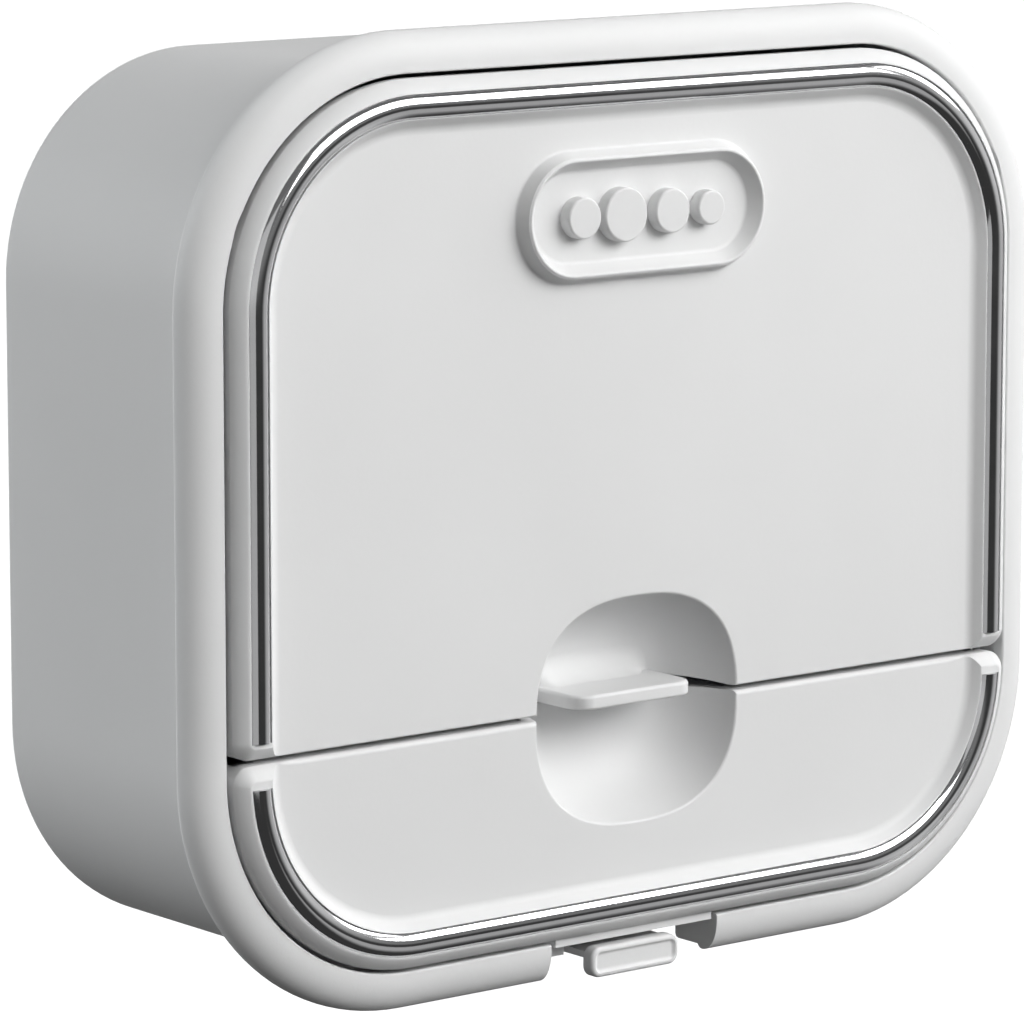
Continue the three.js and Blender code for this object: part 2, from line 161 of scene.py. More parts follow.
def bevel_edges(ob, test, width, segments=3):
    """Rounds the edges that test(mid, a, b) picks; the points it gets are (x, d, z) in mm."""
    def mm(v):
        return (v.x * 1000, v.y * 1000 + GAP_Y, v.z * 1000)
    bm = bmesh.new()
    bm.from_mesh(ob.data)
    bmesh.ops.remove_doubles(bm, verts=bm.verts, dist=1e-7)
    bmesh.ops.dissolve_degenerate(bm, edges=bm.edges, dist=1e-7)
    picked = []
    for e in bm.edges:
        if len(e.link_faces) == 2 and e.calc_face_angle(0) > math.radians(25):
            a, b = mm(e.verts[0].co), mm(e.verts[1].co)
            m = tuple((p + q) / 2 for p, q in zip(a, b))
            if test(m, a, b):
                picked.append(e)
    if picked:
        bmesh.ops.bevel(bm, geom=picked, offset=width * 0.001, segments=segments, profile=0.5, affect="EDGES", clamp_overlap=True)
    bm.to_mesh(ob.data)
    bm.free()
    return ob


def smooth(ob, angle=32):
    bm = bmesh.new()
    bm.from_mesh(ob.data)
    bmesh.ops.remove_doubles(bm, verts=bm.verts, dist=2e-7)
    lim = math.radians(angle)
    for f in bm.faces:
        f.smooth = True
    for e in bm.edges:
        e.smooth = not (len(e.link_faces) == 2 and e.calc_face_angle(0) > lim)
    bm.to_mesh(ob.data)
    bm.free()
    m = ob.modifiers.new("normals", "WEIGHTED_NORMAL")
    m.keep_sharp = True
    m.weight = 80
    return ob


def arc(cx, cy, r, a0, a1, n):
    return [(cx + r * math.cos(math.radians(a0 + (a1 - a0) * i / n)), cy + r * math.sin(math.radians(a0 + (a1 - a0) * i / n))) for i in range(n + 1)]


# ---------------------------------------------------------------- materials
def principled(name):
    m = bpy.data.materials.new(name)
    m.use_nodes = True
    nt = m.node_tree
    return m, nt, nt.nodes["Principled BSDF"]


def plastic(name, c0, c1, rough0, rough1, bump=0.02, scale=900.0, coat=0.0):
    m, nt, b = principled(name)
    tc = nt.nodes.new("ShaderNodeTexCoord")
    big = nt.nodes.new("ShaderNodeTexNoise")
    big.inputs["Scale"].default_value = 22.0
    big.inputs["Detail"].default_value = 3.0
    nt.links.new(tc.outputs["Object"], big.inputs["Vector"])
    ramp = nt.nodes.new("ShaderNodeValToRGB")
    ramp.color_ramp.elements[0].position = 0.3
    ramp.color_ramp.elements[1].position = 0.7
    ramp.color_ramp.elements[0].color = (*c0, 1)
    ramp.color_ramp.elements[1].color = (*c1, 1)
    nt.links.new(big.outputs["Fac"], ramp.inputs["Fac"])
    nt.links.new(ramp.outputs["Color"], b.inputs["Base Color"])
    fine = nt.nodes.new("ShaderNodeTexNoise")
    fine.inputs["Scale"].default_value = scale
    fine.inputs["Detail"].default_value = 2.0
    nt.links.new(tc.outputs["Object"], fine.inputs["Vector"])
    mr = nt.nodes.new("ShaderNodeMapRange")
    mr.inputs["To Min"].default_value = rough0
    mr.inputs["To Max"].default_value = rough1
    nt.links.new(fine.outputs["Fac"], mr.inputs["Value"])
    nt.links.new(mr.outputs["Result"], b.inputs["Roughness"])
    bp = nt.nodes.new("ShaderNodeBump")
    bp.inputs["Strength"].default_value = bump
    bp.inputs["Distance"].default_value = 0.0003
    nt.links.new(fine.outputs["Fac"], bp.inputs["Height"])
    nt.links.new(bp.outputs["Normal"], b.inputs["Normal"])
    b.inputs["IOR"].default_value = 1.45
    b.inputs["Specular IOR Level"].default_value = 0.4
    b.inputs["Coat Weight"].default_value = coat
    b.inputs["Coat Roughness"].default_value = 0.15
    return m


def metal(name, c0, c1, rough0, rough1, scale, stretch=(1, 1, 1), bump=0.01):
    m, nt, b = principled(name)
    tc = nt.nodes.new("ShaderNodeTexCoord")
    mp = nt.nodes.new("ShaderNodeMapping")
    mp.inputs["Scale"].default_value = stretch
    nt.links.new(tc.outputs["Object"], mp.inputs["Vector"])
    no = nt.nodes.new("ShaderNodeTexNoise")
    no.inputs["Scale"].default_value = scale
    no.inputs["Detail"].default_value = 3.0
    nt.links.new(mp.outputs["Vector"], no.inputs["Vector"])
    ramp = nt.nodes.new("ShaderNodeValToRGB")
    ramp.color_ramp.elements[0].color = (*c0, 1)
    ramp.color_ramp.elements[1].color = (*c1, 1)
    nt.links.new(no.outputs["Fac"], ramp.inputs["Fac"])
    nt.links.new(ramp.outputs["Color"], b.inputs["Base Color"])
    mr = nt.nodes.new("ShaderNodeMapRange")
    mr.inputs["To Min"].default_value = rough0
    mr.inputs["To Max"].default_value = rough1
    nt.links.new(no.outputs["Fac"], mr.inputs["Value"])
    nt.links.new(mr.outputs["Result"], b.inputs["Roughness"])
    bp = nt.nodes.new("ShaderNodeBump")
    bp.inputs["Strength"].default_value = bump
    bp.inputs["Distance"].default_value = 0.0002
    nt.links.new(no.outputs["Fac"], bp.inputs["Height"])
    nt.links.new(bp.outputs["Normal"], b.inputs["Normal"])
    b.inputs["Metallic"].default_value = 1.0
    return m


WHITE = plastic("white_plastic_satin", (0.738, 0.74, 0.74), (0.768, 0.77, 0.77), 0.42, 0.52, 0.03, 1400.0)
WHITE_IN = plastic("white_plastic_inner", (0.72, 0.728, 0.735), (0.75, 0.755, 0.76), 0.42, 0.55, 0.05, 900.0)
CHROME = metal("bright_trim", (0.74, 0.745, 0.755), (0.80, 0.80, 0.81), 0.07, 0.14, 500.0)
STEEL = metal("pin_steel", (0.50, 0.505, 0.51), (0.62, 0.62, 0.63), 0.22, 0.38, 700.0, (1, 30, 30), 0.05)
SOFT = plastic("soft_silicone", (0.68, 0.69, 0.685), (0.73, 0.735, 0.73), 0.5, 0.65, 0.05, 600.0)
SOFT.node_tree.nodes["Principled BSDF"].inputs["Subsurface Weight"].default_value = 0.15
SOFT.node_tree.nodes["Principled BSDF"].inputs["Subsurface Scale"].default_value = 0.0005
SOFT.node_tree.nodes["Principled BSDF"].inputs["Subsurface Radius"].default_value = (1.0, 1.0, 1.0)


def finish_piece(ob, body, nodes, mat, angle=32):
    smooth(ob, angle)
    ob.data.materials.clear()
    ob.data.materials.append(mat)
    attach(ob, body)
    for n in nodes:
        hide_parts(n)
    return ob


# ---------------------------------------------------------------- housing
prof = [(BODY_OUT - 1.2, BODY_BACK)]
prof += arc(BODY_OUT - 1.2, BODY_BACK - 1.2, 1.2, 90, 0, 6)[1:]
prof += [(BODY_OUT, 34.0), (BODY_OUT, 24.0), (BODY_OUT, 14.0), (BODY_OUT, 9.6), (0.88, 9.0), (0.99, 8.4), (1.2, 7.8), (1.5, 7.3), (1.9, 6.8), (2.8, 5.75), (3.7, 4.7), (4.55, 3.95)]
prof += arc(4.45, 3.0, 0.85, 62, 8, 6)
prof += [(0.95 + 4.35 * math.cos(math.radians(a)), 2.9 - 2.9 * math.sin(math.radians(a))) for a in np.linspace(0, 90, 19)]
housing = loft("housing", [(outline(o), d) for o, d in prof])
RIM_IN, FLARE = 0.18, 0.3
mouth = [(RIM_IN + FLARE + 0.02, -0.6)] + [(RIM_IN + FLARE * (1 - math.sin(math.radians(a))), FLARE * (1 - math.cos(math.radians(a)))) for a in np.linspace(0, 90, 7)] + [(RIM_IN, 1.6), (CLEAR, 2.0), (CLEAR, REBATE)]
cut(housing, loft("c", [(outline(o), d) for o, d in mouth]))
# relief at both sides of the lid's pivot, where its edge swings up into the narrowing corner
for s in (-1, 1):
    up, down = [], []
    for z in np.linspace(35.1, 42.1, 24):
        r, run = GAP_R + RIM_IN, max(0.0, z - (GAP_H / 2 - GAP_R))
        x = GAP_W / 2 - GAP_R + math.sqrt(r * r - run * run)
        up.append((s * (x - 0.02 + 0.32 * math.cos(math.pi / 2 * (z - 38.6) / 3.5) ** 2), z))
        down.append((s * (x - 1.5), z))
    cut(housing, prism("c", (up + down[::-1])[::s], -0.3, 1.9))
inner = outline(BODY_OUT - WALL)
cut(housing, prism("c", inner, REBATE - 0.5, BACK_IN))
cut(housing, prism("c", inner, BACK_OUT, BODY_BACK + 1))
slope = loft("c", [(outline(CLEAR), REBATE - 0.4), (outline(CLEAR), REBATE), (inner, REBATE + 3.8), (inner, REBATE + 4)])
cut(housing, keep(slope, box("k", -100, 100, -20, 20, HINGE_Z - 1, 90)))
for s in (-1, 1):
    x = s * 20.0
    cut(housing, rod_y("c", x, 4.0, BACK_IN - 1, BACK_OUT + 1, 4.4))
    slot = [(x + 2.3 * math.cos(a), 14.0 + 2.3 * math.sin(a)) for a in np.linspace(0, math.pi, 17)] + [(x - 2.3, 4.0), (x + 2.3, 4.0)]
    cut(housing, prism("c", slot, BACK_IN - 1, BACK_OUT + 1))
cut(housing, box("c", -NOTCH, NOTCH, -2, REBATE, -70, -50))
cut(housing, box("c", -NOTCH, NOTCH, REBATE - 0.5, 12.5, -70, FLOOR_Z))
bevel_edges(housing, lambda m, a, b: abs(abs(a[0]) - NOTCH) < 0.02 and abs(abs(b[0]) - NOTCH) < 0.02 and m[2] < -55.4, 0.9, 5)
half_in = GAP_W / 2 + BODY_OUT - WALL
for s in (-1, 1):
    a, b = (NOTCH + 0.02, NOTCH + 2.6) if s > 0 else (-NOTCH - 2.6, -NOTCH - 0.02)
    join(housing, slab_x("u", [(2.5, FLOOR_Z + 0.6), (2.5, -59.75), (7.7, -59.75), (8.1, -59.6), (8.3, -59.2), (8.3, FLOOR_Z + 0.6)], a, b))
for s in (-1, 1):
    a, b = (54, half_in + 0.6) if s > 0 else (-half_in - 0.6, -54)
    join(housing, box("u", a, b, 8, BACK_IN + 0.6, -25.4, -23.4))
    a, b = (54.9, 57.3) if s > 0 else (-57.3, -54.9)
    c, e = (54.9, 62.0) if s > 0 else (-62.0, -54.9)
    arm = rod_x("u", a, b, HINGE_D, HINGE_Z, 1.4)
    join(arm, slab_x("u2", [(0.12, HINGE_Z - 0.88), (6.5, HINGE_Z - 7.3), (8.28, HINGE_Z - 5.5), (1.88, HINGE_Z + 0.88)], a, b))
    join(arm, box("u3", c, e, 6.6, 9.6, HINGE_Z - 10, HINGE_Z - 6))
    cut(arm, rod_x("u4", a - 1, b + 1, HINGE_D, HINGE_Z, 0.88))
    join(housing, arm)
    a, b = (7.9, 10.1) if s > 0 else (-10.1, -7.9)
    ear = slab_x("u", [(21.6, FLOOR_Z + 0.6), (26.4, FLOOR_Z + 0.6)] + arc(24.0, -57.75, 2.1, 0, -180, 12), a, b)
    cut(ear, rod_x("u5", a - 1, b + 1, 24.0, -57.75, 1.08))
    join(housing, ear)
stop = box("u", -NOTCH + 0.05, -7.9, REBATE + 0.05, 6.4, -58.15, FLOOR_Z + 0.6)
join(housing, stop)
finish_piece(housing, "housing", ["housing_shell"], WHITE)

# ---------------------------------------------------------------- front plates
plate_prof = [(0.7, EDGE_BACK), (0.0, 0.9), (0.0, 0.1)]
plate_prof += [(0.25 - 0.25 * math.cos(math.radians(a)), -0.1 - 0.25 * math.sin(math.radians(a))) for a in (10, 22, 34)]
plate_prof += [(0.26, -0.6), (0.56, -0.95), (0.9, -1.26), (1.22, -1.5)]
plate_prof += [(1.45, -1.645), (1.6, -1.72), (1.75, CREST)]
plate_prof += [(4.72, CREST)]
plate_prof += [(4.72 + 0.4 * math.sin(math.radians(a)), CREST + 0.4 * (1 - math.cos(math.radians(a)))) for a in (9, 18, 27, 36, 45)]
_sx, _sd = plate_prof[-1]
FOOT = 1.7
_run = (PANEL - _sd) - FOOT * (1 - math.cos(math.radians(45)))
plate_prof += [(_sx + _run, _sd + _run)]
plate_prof += [(_sx + _run + FOOT * (math.sin(math.radians(45)) - math.sin(math.radians(a))), PANEL - FOOT * (1 - math.cos(math.radians(a)))) for a in (40, 35, 30, 25, 20, 15, 10, 5, 1)]


def plate(name):
    return loft(name, [(outline(-CLEAR - i), d) for i, d in plate_prof])


def split_region(name, upper):
    """Solid that keeps one side of the split; the border's chamfer wraps round its two corners."""
    zs = LID_LOW if upper else DRAWER_HIGH
    s = 1 if upper else -1
    hw, r = GAP_W / 2 - CLEAR + 0.01, 2.5

    def plan(i):
        left = [(-hw - 8, zs + s * 90), (-hw - 8, zs + s * r)]
        left += [(-hw + r - (r - i) * math.cos(math.radians(a)), zs + s * (r - (r - i) * math.sin(math.radians(a)))) for a in np.linspace(0, 90, 15)]
        return left + [(-x, z) for x, z in left][::-1]
    steps = [(i, d) for i, d in plate_prof if i < 1.76 and d < 0.5]
    rings = [(plan(0.0), 20.0)] + [(plan(i), d) for i, d in steps] + [(plan(1.75), -8.0)]
    return loft(name, rings)


def trim_band(upper):
    """Centre line and outward directions of a trim strip, with rounded ends: list of ((x, z), (ux, uz))."""
    off = -CLEAR - TRIM_MID
    w, h, r = GAP_W / 2 + off, GAP_H / 2 + off, GAP_R + off
    s = 1 if upper else -1
    z_end = (LID_LOW - 3) if upper else (DRAWER_HIGH + 3)
    path = []
    if upper:
        for z in np.linspace(z_end, h - r, 24)[:-1]:
            path.append(((w, z), (1.0, 0.0)))
    else:
        path.append(((w, z_end), (1.0, 0.0)))
    for i in range(N + 1):
        a = math.pi / 2 * i / N
        path.append(((w - r + r * math.cos(a), s * (h - r) + s * r * math.sin(a)), (math.cos(a), s * math.sin(a))))
    for x in np.linspace(w - r, -(w - r), 26)[1:-1]:
        path.append(((x, s * h), (0.0, float(s))))
    half = len(path)
    for (x, z), (ux, uz) in [p for p in path[:half] if p[0][0] >= w - r - 1e-6][::-1]:
        path.append(((-x, z), (-ux, uz)))
    band = list(path)

    def end(p, u, turn):
        (x, z), (ux, uz) = p, u
        out = []
        for i in range(1, 12):
            a = turn * math.pi * i / 12
            out.append(((x, z), (ux * math.cos(a) - uz * math.sin(a), ux * math.sin(a) + uz * math.cos(a))))
        return out
    last, first = path[-1], path[0]
    band += end(last[0], last[1], 1 if upper else -1)
    band += [(p, (-u[0], -u[1])) for p, u in path[::-1]]
    band += end(first[0], (-first[1][0], -first[1][1]), 1 if upper else -1)
    return band


def band_ring(band, half):
    return [(p[0] + u[0] * half, p[1] + u[1] * half) for p, u in band]


TRIM_LOW, TRIM_HIGH = LID_LOW + 2.15, DRAWER_HIGH - 2.65


def trim_side(name, upper, gap):
    """Half space that the trim strip or its groove keeps to, away from the split."""
    return box(name, -90, 90, -12, 12, TRIM_LOW + gap, 90) if upper else box(name, -90, 90, -12, 12, -90, TRIM_HIGH - gap)


def trim(name, upper):
    band = trim_band(upper)
    rings = [(band_ring(band, 1.47), TRIM_FLOOR - 0.12)]
    dome = 1.47 / math.sin(math.radians(50))
    for a in np.linspace(50, 1.2, 18):
        rings.append((band_ring(band, dome * math.sin(math.radians(a))), CREST + 0.22 - dome * (math.cos(math.radians(a)) - math.cos(math.radians(50)))))
    return keep(loft(name, rings), trim_side("t", upper, 0.03))


SC_P, SC_Q = 3.6, 1.25


def bowl_level(rho):
    """Depth and plan exponent of the scoop where its plan has shrunk to rho of the mouth."""
    return (1 - rho ** SC_P) ** (1 / SC_Q), 2.1 + 0.4 * rho


def superellipse(a, b, n, z0, k=72):
    pts = []
    for i in range(k):
        t = 2 * math.pi * i / k
        c, s = math.cos(t), math.sin(t)
        pts.append((a * math.copysign(abs(c) ** (2 / n), c), z0 + b * math.copysign(abs(s) ** (2 / n), s)))
    return pts


def bowl(name, grow, front):
    """Scoop as a solid; its mouth flares into the panel when grow is 0."""
    rings = []
    if grow == 0:
        rings.append((superellipse(SC_A + 0.4, SC_B + 0.4, 2.5, SC_Z), front))
        for a in np.linspace(0, 90, 6):
            f = 0.4 * (1 - math.sin(math.radians(a)))
            rings.append((superellipse(SC_A + f, SC_B + f, 2.5, SC_Z), PANEL - 0.002 + 0.4 * (1 - math.cos(math.radians(a)))))
    else:
        rings.append((superellipse(SC_A + grow, SC_B + grow, 2.5, SC_Z), front))
    for rho in 1 - np.linspace(0.145, 0.98, 30) ** 2:
        h, n = bowl_level(rho)
        rings.append((superellipse((SC_A + grow) * rho, (SC_B + grow) * rho, n, SC_Z), PANEL + (SC_D + grow) * h))
    return loft(name, rings)


def bowl_depth(x, z):
    """Depth of the scoop's surface at a point of its plan."""
    lo, hi = 0.0, 1.0
    for _ in range(40):
        rho = (lo + hi) / 2
        n = bowl_level(rho)[1]
        if (abs(x) / (SC_A * rho)) ** n + (abs(z - SC_Z) / (SC_B * rho)) ** n > 1:
            lo = rho
        else:
            hi = rho
    return PANEL + SC_D * bowl_level(min(hi, 0.999))[0]


def front_piece(name, upper):
    ob = plate(name)
    band = trim_band(upper)
    cut(ob, keep(prism("g", band_ring(band, TRIM_HALF), -6, TRIM_FLOOR), trim_side("t", upper, 0.0)))
    cut(ob, prism("p", outline(-CLEAR - 1.6), PANEL_BACK, EDGE_BACK + 1))
    join(ob, bowl("o", 1.5, PANEL + 0.8))
    cut(ob, bowl("i", 0, -5))
    keep(ob, split_region("r", upper))
    zs = LID_LOW if upper else DRAWER_HIGH
    s = 1 if upper else -1
    r0 = 0.3 if upper else 0.65
    rings = []
    for x, r in ((-57.5, 0.1), (-56.0, 0.3 * r0), (-54.5, 0.8 * r0), (-53.0, r0), (53.0, r0), (54.5, 0.8 * r0), (56.0, 0.3 * r0), (57.5, 0.1)):
        prof = [(PANEL + r * (1 - math.cos(math.radians(a))), zs + s * r * (1 - math.sin(math.radians(a)))) for a in np.linspace(0, 90, 9)]
        prof += [(PANEL + r, zs - s), (PANEL - 0.9, zs - s), (PANEL - 0.9, zs + s * r)]
        rings.append([(x, d, z) for d, z in prof])
    cut(ob, loft3("e", rings))
    for s in (-1, 1):
        a, b = (17.6, 58) if s > 0 else (-58, -17.6)
        z0, z1 = (zs + 0.02, zs + 1.6) if upper else (zs - 1.6, zs - 0.02)
        join(ob, box("w", a, b, PANEL_BACK - 0.4, EDGE_BACK, z0, z1))
    return ob


lid = front_piece("lid", True)
cut(lid, slab_x("c", [(1.0, LID_LOW - 1), (20, LID_LOW - 1), (20, LID_LOW + 1.6), (12, LID_LOW + 1.35), (7, LID_LOW + 0.75), (1.0, LID_LOW + 0.02)], -18.2, 18.2))
# pull tab: rounded plate with soft edges, thickened where it meets the scoop
tab_plan = arc(-TAB_HALF + 2.6, TAB_FRONT + 2.6, 2.6, 180, 270, 8) + arc(TAB_HALF - 2.6, TAB_FRONT + 2.6, 2.6, 270, 360, 8) + [(TAB_HALF, 11.2), (-TAB_HALF, 11.2)]


def inset_plan(f):
    out = []
    for x, d in tab_plan:
        sx = (TAB_HALF - f) / TAB_HALF
        out.append((x * sx, d + f * max(0.0, 1 - (d - TAB_FRONT) / 7.0)))
    return out


tab_rings = []
for a in np.linspace(0, 90, 6):
    f = 0.4 * (1 - math.sin(math.radians(a)))
    tab_rings.append([(x, d, TAB_BOT + 0.4 * (1 - math.cos(math.radians(a)))) for x, d in inset_plan(f)])
for a in np.linspace(90, 0, 6):
    f = 0.5 * (1 - math.sin(math.radians(a)))
    tab_rings.append([(x, d, TAB_TOP - 0.5 * (1 - math.cos(math.radians(a)))) for x, d in inset_plan(f)])
join(lid, loft3("tab", tab_rings))
# hollow fillet between the tab's top and the scoop above it
FIL = 4.0
fil_rings = []
for a in np.linspace(0, 88, 12):
    h = FIL * (1 - math.cos(math.radians(a)))
    e = FIL * (1 - math.sin(math.radians(a)))
    z = TAB_TOP - 0.02 + h
    front, rear = [], []
    for x in np.linspace(-9.5, 9.4, 41):
        t = min(1.0, (9.4 - x) / 4.0) * min(1.0, (x + 9.5) / 2.0)
        t = t * t * (3 - 2 * t)
        deep = bowl_depth(x, z)
        front.append((x, deep + 0.06 - e * t, z))
        rear.append((x, deep + 0.9, z))
    fil_rings.append(front + rear[::-1])
fil_rings.insert(0, [(x, d, TAB_TOP - 0.6) for x, d, _ in fil_rings[0]])
join(lid, loft3("fillet", fil_rings))
for s in (-1, 1):
    a, b = (49.6, 54.4) if s > 0 else (-54.4, -49.6)
    c, e = (54.75, 57.8) if s > 0 else (-57.8, -54.75)
    join(lid, box("u", a, b, 0.5, 2.7, HINGE_Z - 2.2, HINGE_Z + 2.2))
    cut(lid, box("c", c, e, 0.4, 9, HINGE_Z - 3.2, HINGE_Z + 5.2))
    cut(lid, rod_x("c", c, e, HINGE_D, HINGE_Z, 1.55))
    cut(lid, rod_x("c", 49.9, 55, HINGE_D, HINGE_Z, 0.88) if s > 0 else rod_x("c", -55, -49.9, HINGE_D, HINGE_Z, 0.88))
finish_piece(lid, "lid", ["lid_panel"], WHITE)
finish_piece(trim("lid_trim_strip", True), "lid", ["lid_trim"], CHROME, 50)

drawer = front_piece("drawer_face", False)
join(drawer, box("u", -12.8, 12.8, 0.2, 2.2, -55.72, -54.0))
for s in (-1, 1):
    join(drawer, rod_y("u", s * 40.0, -40.0, PANEL_BACK - 0.4, EDGE_BACK, 3.2))
    cut(drawer, rod_y("c", s * 40.0, -40.0, 0.7, EDGE_BACK + 1, 1.5))
finish_piece(drawer, "drawer", ["drawer_front"], WHITE)
finish_piece(trim("drawer_trim_strip", False), "drawer", ["drawer_trim"], CHROME, 50)


# ---------------------------------------------------------------- badge
def stadium(w, h, z, n=24):
    pts = []
    for s, a0 in ((1, -90), (-1, 90)):
        for i in range(n + 1):
            a = math.radians(a0 + 180 * i / n)
            pts.append((s * (w - h) / 2 + h / 2 * math.cos(a), z + h / 2 * math.sin(a)))
    return pts


BZ, BW, BH = 36.2, 37.4, 14.25
BC = -2.38
ring_prof = [(1.34, PANEL - 0.01), (1.2, PANEL - 0.03), (1.08, PANEL - 0.1), (1.0, PANEL - 0.22), (0.34, BC + 0.2)]
ring_prof += [(0.26 * math.sin(math.radians(a)), BC + 0.26 * (1 - math.cos(math.radians(a)))) for a in (66, 44, 22, 0, -22, -44, -62)]
ring_prof += [(-1.28, PANEL - 0.3), (-1.4, PANEL - 0.2), (-1.58, PANEL - 0.13), (-1.8, PANEL - 0.11)]
badge = loft("badge", [(stadium(BW + 2 * o, BH + 2 * o, BZ), d) for o, d in ring_prof])
BF = PANEL
for x, r in ((-10.2, 2.6), (-3.6, 3.4), (3.9, 2.8), (10.2, 2.2)):
    rings = [([(x + r * math.cos(t), BZ + r * math.sin(t)) for t in np.linspace(0, 2 * math.pi, 41)[:-1]], BF - 0.05)]
    for a in np.linspace(0, 84, 8):
        rr = r - 0.35 + 0.35 * math.cos(math.radians(a))
        rings.append(([(x + rr * math.cos(t), BZ + rr * math.sin(t)) for t in np.linspace(0, 2 * math.pi, 41)[:-1]], BC + 0.45 - 0.35 * math.sin(math.radians(a))))
    join(badge, loft("bead", rings))
finish_piece(badge, "lid", ["badge_plate"], WHITE)

# ---------------------------------------------------------------- release catch
zc, hz, hx = -58.6, 1.98, 7.2


def round_rect(w, h, r, z, n=8):
    pts = []
    for sx, sz, a0 in ((1, 1, 0), (-1, 1, 90), (-1, -1, 180), (1, -1, 270)):
        for i in range(n + 1):
            a = math.radians(a0 + 90 * i / n)
            pts.append((sx * (w - r) + r * math.cos(a), z + sz * (h - r) + r * math.sin(a)))
    return pts


catch_prof = [(0.0, 1.6), (0.0, 0.35)] + [(0.5 - 0.5 * math.cos(math.radians(a)), 0.35 - 0.5 * math.sin(math.radians(a))) for a in np.linspace(15, 90, 6)]
catch_prof += [(0.62, -0.14), (0.74, -0.05), (0.86, 0.06), (1.0, 0.14), (1.2, 0.16)]
catch = loft("catch", [(round_rect(hx - i, hz - i, max(1.5 - i, 0.2), zc), d) for i, d in catch_prof])
lever = slab_x("u", [(1.2, -58.15), (1.2, -57.3), (7.5, -57.3), (9.0, -56.35), (20.5, -56.35), (22.4, -56.6), (24.0, -56.6), (24.0, -58.9), (22.4, -58.9), (20.5, -58.15)], -6.9, 6.9)
join(lever, rod_x("u2", -7.4, 7.4, 24.0, -57.75, 1.6))
cut(lever, rod_x("c", -9, 9, 24.0, -57.75, 1.08))
cut(lever, box("c", -3.1, 3.1, 21.9, 28, -61, -55))
join(catch, lever)
finish_piece(catch, "catch", ["release_catch"], WHITE)

# ---------------------------------------------------------------- inner pieces
rack = box("rack", -half_in + 0.6, half_in - 0.6, 7.5, BACK_IN - 0.5, -23.1, -20.9)
cut(rack, box("c", -21, 21, 5, 15, -30, -10))
bevel_edges(rack, lambda m, a, b: True, 0.5, 3)
for i in range(-4, 5):
    f = 18.5 if abs(i) < 2 else 11.5
    x = i * 12
    plan = [(x + 2.2 * math.cos(t), 32.8 + 2.2 * math.sin(t)) for t in np.linspace(0, math.pi, 11)] + [(x + 2.2 * math.cos(t), f + 2.2 + 2.2 * math.sin(t)) for t in np.linspace(math.pi, 2 * math.pi, 11)]
    cut(rack, loft3("c", [[(px, pd, -30) for px, pd in plan], [(px, pd, -10) for px, pd in plan]]))
for i in range(-4, 4):
    x = i * 12 + 6
    f = 17 if abs(x) < 22 else 9.5
    rings = []
    for t, zz in ((0.9, -21.4), (0.9, -19.9), (0.78, -19.5), (0.45, -19.32)):
        rings.append([(x - t, f + 0.9 - t, zz), (x + t, f + 0.9 - t, zz), (x + t, 35.6 + t, zz), (x - t, 35.6 + t, zz)])
    join(rack, loft3("rib", rings))
finish_piece(rack, "housing", ["soap_rack"], WHITE_IN)

tray = prism("tray", outline(BODY_OUT - WALL - 0.6), 3.95, 36.0)
keep(tray, box("k", -90, 90, 0, 50, -90, -27.2))
cut(tray, box("c", -19.8, 19.8, 0, 13.4, -60, 0))
hollow = prism("h", outline(BODY_OUT - WALL - 2.4), 5.75, 34.2)
cut(hollow, box("c", -21.6, 21.6, 0, 15.2, -60, 60))
cut(tray, hollow)
for s in (-1, 1):
    cut(tray, rod_y("c", s * 40.0, -40.0, 2, 7, 1.5))
finish_piece(tray, "drawer", ["drip_tray"], WHITE_IN)

for side, s in (("left", -1), ("right", 1)):
    a, b = (50.2, 57.2) if s > 0 else (-57.2, -50.2)
    pin = loft3("hinge_rod_" + side, [[(xx, HINGE_D + rr * math.cos(t), HINGE_Z + rr * math.sin(t)) for t in np.linspace(0, 2 * math.pi, 33)[:-1]] for xx, rr in ((a, 0.6), (a + 0.2, 0.8), (b - 0.2, 0.8), (b, 0.6))])
    finish_piece(pin, "housing", ["hinge_pin_" + side], STEEL)
    stopper = loft("soft_stop_" + side, [([(s * 57.5 + rr * math.cos(t), -24.4 + rr * math.sin(t)) for t in np.linspace(0, 2 * math.pi, 33)[:-1]], d) for rr, d in ((0.98, 7.7), (0.98, 4.7), (0.88, 4.35), (0.6, 4.15), (0.25, 4.1))])
    finish_piece(stopper, "housing", ["lid_bumper_" + side], SOFT, 40)
    screw = loft("screw_" + side, [([(s * 40.0 + rr * math.cos(t), -40.0 + rr * math.sin(t)) for t in np.linspace(0, 2 * math.pi, 37)[:-1]], d) for rr, d in ((0.3, 1.0), (1.15, 1.9), (1.15, 6.05), (2.2, 6.05), (2.8, 6.3), (2.75, 7.2), (2.3, 7.75), (1.2, 7.9))])
    for ang in (45, -45):
        c, q = math.cos(math.radians(ang)), math.sin(math.radians(ang))
        cross = [(s * 40.0 + x * c - z * q, -40.0 + x * q + z * c) for x, z in ((-1.5, -0.24), (1.5, -0.24), (1.5, 0.24), (-1.5, 0.24))]
        cut(screw, prism("c", cross, 7.1, 9))
    finish_piece(screw, "drawer", ["tray_screw_" + side], STEEL)
pin = loft3("catch_rod", [[(xx, 24.0 + rr * math.cos(t), -57.75 + rr * math.sin(t)) for t in np.linspace(0, 2 * math.pi, 33)[:-1]] for xx, rr in ((-10.0, 0.8), (-9.8, 1.0), (9.8, 1.0), (10.0, 0.8))])
finish_piece(pin, "housing", ["catch_pin"], STEEL)


